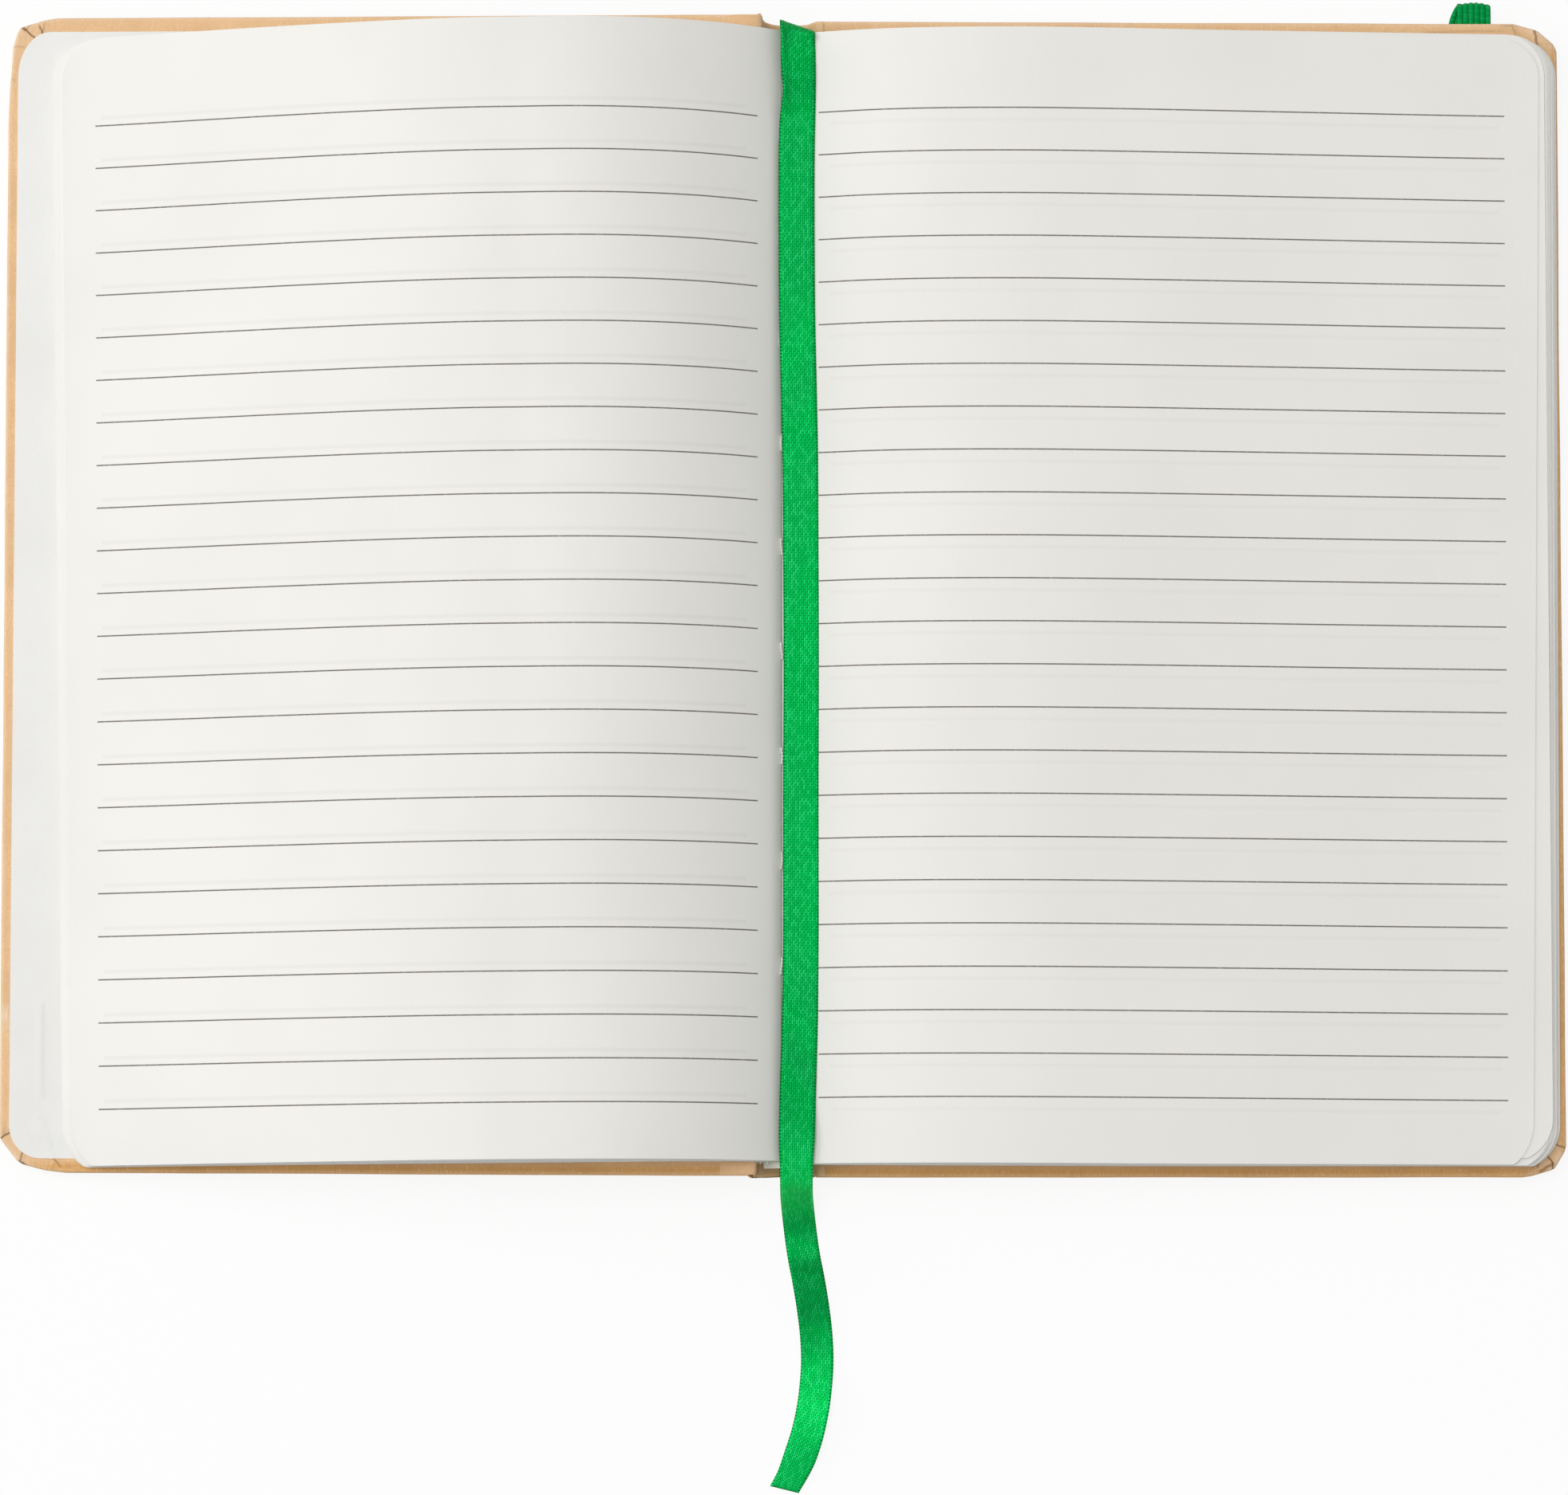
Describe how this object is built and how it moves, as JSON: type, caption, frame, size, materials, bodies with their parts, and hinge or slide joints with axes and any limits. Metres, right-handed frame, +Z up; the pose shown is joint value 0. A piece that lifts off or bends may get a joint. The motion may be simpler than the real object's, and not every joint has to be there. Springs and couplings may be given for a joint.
{
  "type": "open hardcover notebook",
  "caption": "Open hardcover notebook with arched ruled leaves, paper-covered boards, a ribbon marker and an elastic closing band; both covers swing shut on the spine.",
  "frame": {"origin": "on the table, under the middle of the spine and half way up the covers", "axes": "+X across the open notebook toward the right (back) cover, +Y toward the head of the pages, +Z up off the table"},
  "size_m": [0.2816, 0.2714, 0.0262],
  "materials": {
    "grey_board": "matte",
    "kraft": "matte, fibrous",
    "endpaper": "matte",
    "leaves": "matte, ruled",
    "elastic": "ribbed",
    "gauze": "matte",
    "thread": "matte",
    "ribbon": "satin"
  },
  "bodies": {
    "back_cover": {"back_board": "grey_board", "back_cover_paper": "kraft", "back_pastedown": "endpaper", "right_gather_1": "leaves", "right_gather_2": "leaves", "right_gather_3": "leaves", "elastic_band": "elastic"},
    "spine": {"spine_paper": "kraft", "spine_strip": "grey_board", "back_lining": "gauze", "sewing_thread": "thread", "ribbon_marker": "ribbon"},
    "front_cover": {"front_board": "grey_board", "front_cover_paper": "kraft", "front_pastedown": "endpaper", "left_gather_1": "leaves", "left_gather_2": "leaves", "left_gather_3": "leaves"}
  },
  "joints": [
    {"name": "spine_joint", "type": "hinge", "parent": "back_cover", "child": "spine", "pos_m": [0.0061, 0, 0.0024], "axis": [0, 1, 0], "range_deg": [0, 59.4], "deforming": ["right_gather_1", "right_gather_2", "right_gather_3", "ribbon_marker"]},
    {"name": "front_joint", "type": "hinge", "parent": "spine", "child": "front_cover", "pos_m": [-0.0061, 0, 0.0096], "axis": [0, 1, 0], "range_deg": [0, 124.6], "deforming": ["left_gather_1", "left_gather_2", "left_gather_3"]}
  ]
}
